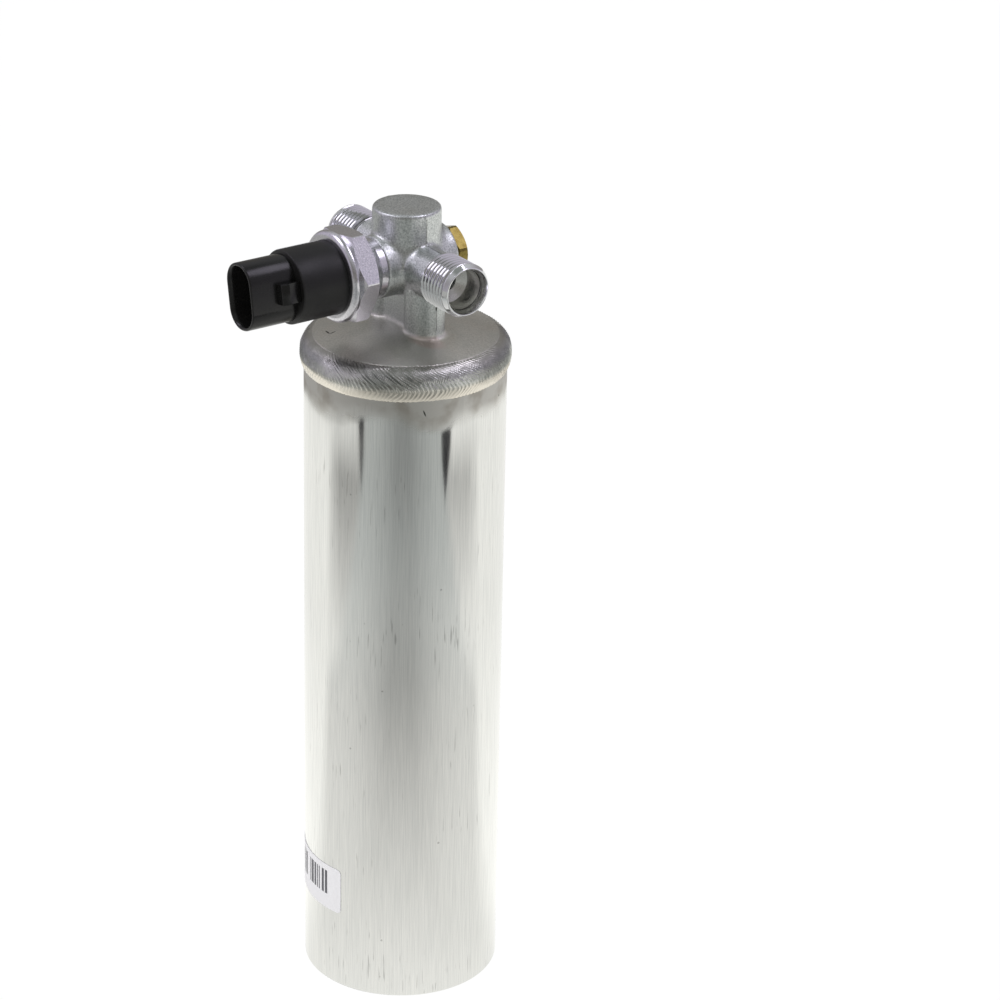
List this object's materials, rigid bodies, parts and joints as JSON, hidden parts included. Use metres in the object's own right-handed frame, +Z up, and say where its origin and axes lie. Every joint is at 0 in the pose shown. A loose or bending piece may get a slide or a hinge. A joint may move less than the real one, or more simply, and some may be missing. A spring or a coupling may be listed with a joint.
{
  "type": "filter drier",
  "caption": "Upright cylindrical receiver drier with a welded forged head, two threaded side arms, a pressure switch with connector and a fusible plug.",
  "frame": {"origin": "centre of the can's flat base, on the can's axis", "axes": "+Z up along the can's axis; -Y the way the pressure switch points; +X the inlet arm, -X the outlet arm"},
  "size_m": [0.0626, 0.0881, 0.2484],
  "materials": {
    "can_aluminium": "extruded, bright with fine upright grain",
    "forged_aluminium": "forged and blasted, satin",
    "weld_aluminium": "rippled weld, brushed",
    "tube_aluminium": "drawn",
    "strainer_nylon": "moulded",
    "plate_steel": "pressed",
    "spring_steel": "drawn",
    "felt": "felt",
    "desiccant": "bed of beads",
    "brass": "turned and plated",
    "fusible_alloy": "cast, dull",
    "seal_rubber": "moulded",
    "switch_metal": "turned, zinc plated",
    "black_plastic": "moulded, satin black",
    "film": "polished film",
    "guide_plastic": "moulded",
    "contact_bronze": "rolled",
    "terminal_brass": "tinned",
    "label_paper": "coated paper"
  },
  "bodies": {
    "drier": {"can": "can_aluminium", "can_label": "label_paper", "desiccant_bed": "desiccant", "diaphragm": "film", "disc_ring": "plate_steel", "flange_seal": "seal_rubber", "fusible_core": "fusible_alloy", "fusible_plug": "brass", "head": "forged_aluminium", "hold_down_spring": "spring_steel", "lower_pad": "felt", "lower_plate": "plate_steel", "pickup_tube": "tube_aluminium", "pin_guide": "guide_plastic", "plug_washer": "seal_rubber", "port_seal": "seal_rubber", "side_label": "label_paper", "snap_disc": "spring_steel", "switch_body": "switch_metal", "switch_housing": "black_plastic", "terminal_1": "terminal_brass", "terminal_2": "terminal_brass", "terminal_3": "terminal_brass", "terminal_4": "terminal_brass", "tube_strainer": "strainer_nylon", "upper_pad": "felt", "upper_plate": "plate_steel", "weld_bead": "weld_aluminium"},
    "push_pin": {"push_pin": "guide_plastic"},
    "contact_blade": {"contact_blade": "contact_bronze"}
  },
  "joints": [
    {"name": "pin_stroke", "type": "slide", "parent": "drier", "child": "push_pin", "axis": [0, -1, 0], "range_m": [0, 0.0003], "stiffness_N_per_m": 200},
    {"name": "blade_flex", "type": "hinge", "parent": "drier", "child": "contact_blade", "pos_m": [0.00109, -0.023, 0.2252], "axis": [0.9848, 0, 0.1736], "range_deg": [0, 2.73], "stiffness_Nm_per_rad": 0.005}
  ],
  "couplings": [
    {"joint": "blade_flex", "follows": "pin_stroke", "rad_per_m": 158.73}
  ]
}
